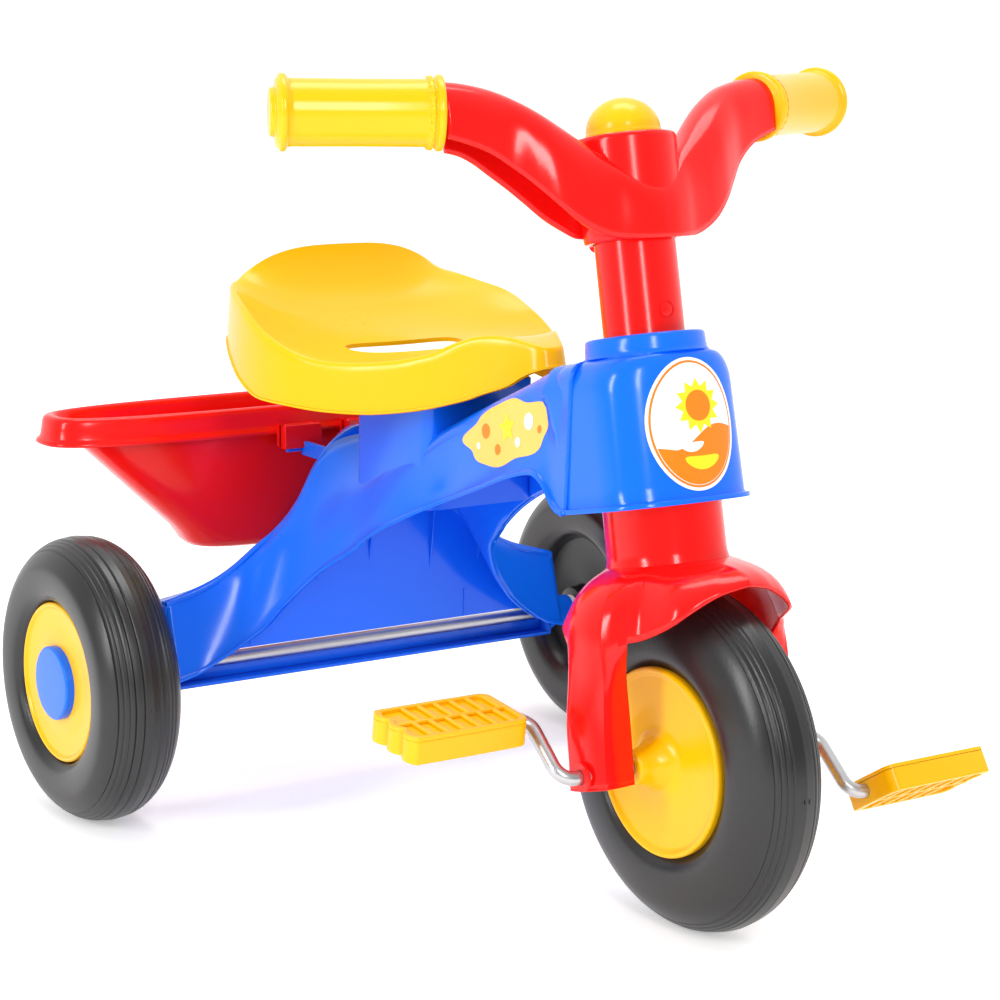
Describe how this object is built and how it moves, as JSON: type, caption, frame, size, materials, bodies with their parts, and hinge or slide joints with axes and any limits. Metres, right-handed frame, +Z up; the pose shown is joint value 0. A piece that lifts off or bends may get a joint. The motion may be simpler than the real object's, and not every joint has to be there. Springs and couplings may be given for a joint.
{
  "type": "children's tricycle",
  "caption": "Child's moulded plastic tricycle with pedals on the front wheel, steered fork, dished seat, squeaker button and lift-off rear bucket.",
  "frame": {"origin": "on the floor under the middle of the overall box", "axes": "+Z up, -Y forwards, +X towards the rider's left"},
  "size_m": [0.505, 0.644, 0.5274],
  "materials": {
    "red_plastic": "glossy red polypropylene",
    "blue_plastic": "glossy blue polypropylene",
    "yellow_plastic": "glossy yellow polypropylene",
    "white_plastic": "natural nylon",
    "steel": "zinc plated steel",
    "black_tyre": "black blow-moulded wheel, satin",
    "soft_rubber": "soft vinyl"
  },
  "bodies": {
    "frame": {"body_shell": "blue_plastic", "seat": "yellow_plastic", "seat_screws": "steel", "head_bush_upper": "blue_plastic", "head_bush_lower": "white_plastic", "rear_axle": "steel", "rear_push_nuts": "steel", "rear_washers": "white_plastic"},
    "steering": {"fork": "red_plastic", "column_plug": "red_plastic", "fork_clips": "red_plastic", "front_washers": "white_plastic", "handlebar": "red_plastic", "handlebar_screw": "steel", "grip_left": "yellow_plastic", "grip_right": "yellow_plastic", "horn_bellows": "soft_rubber"},
    "horn": {"horn_button": "yellow_plastic"},
    "front_wheel": {"front_tyre": "black_tyre", "front_disc_left": "yellow_plastic", "front_disc_right": "yellow_plastic", "crank": "steel"},
    "pedal_l": {"pedal_left": "yellow_plastic"},
    "pedal_r": {"pedal_right": "yellow_plastic"},
    "rear_wheel_l": {"rear_tyre_left": "black_tyre", "rear_disc_left": "yellow_plastic", "rear_cap_left": "blue_plastic"},
    "rear_wheel_r": {"rear_tyre_right": "black_tyre", "rear_disc_right": "yellow_plastic", "rear_cap_right": "blue_plastic"},
    "bucket_body": {"bucket": "red_plastic"}
  },
  "joints": [
    {"name": "steer", "type": "hinge", "parent": "frame", "child": "steering", "pos_m": [0, -0.208, 0.11], "axis": [0, 0.2113, 0.9774], "range_deg": [-40, 40]},
    {"name": "horn_press", "type": "slide", "parent": "steering", "child": "horn", "axis": [0, -0.2113, -0.9774], "range_m": [0, 0.004], "stiffness_N_per_m": 400, "springref_m": -0.004},
    {"name": "front_wheel_spin", "type": "hinge", "parent": "steering", "child": "front_wheel", "pos_m": [0, -0.212, 0.11], "axis": [1, 0, 0], "continuous": true},
    {"name": "pedal_left_spin", "type": "hinge", "parent": "front_wheel", "child": "pedal_l", "pos_m": [0.152, -0.24877, 0.07915], "axis": [1, 0, 0], "continuous": true},
    {"name": "pedal_right_spin", "type": "hinge", "parent": "front_wheel", "child": "pedal_r", "pos_m": [-0.152, -0.17523, 0.14085], "axis": [1, 0, 0], "continuous": true},
    {"name": "rear_wheel_left_spin", "type": "hinge", "parent": "frame", "child": "rear_wheel_l", "pos_m": [0.222, 0.185, 0.1], "axis": [1, 0, 0], "continuous": true},
    {"name": "rear_wheel_right_spin", "type": "hinge", "parent": "frame", "child": "rear_wheel_r", "pos_m": [-0.222, 0.185, 0.1], "axis": [1, 0, 0], "continuous": true},
    {"name": "bucket_lift", "type": "slide", "parent": "frame", "child": "bucket_body", "axis": [0, 0, 1], "range_m": [0, 0.045]}
  ]
}
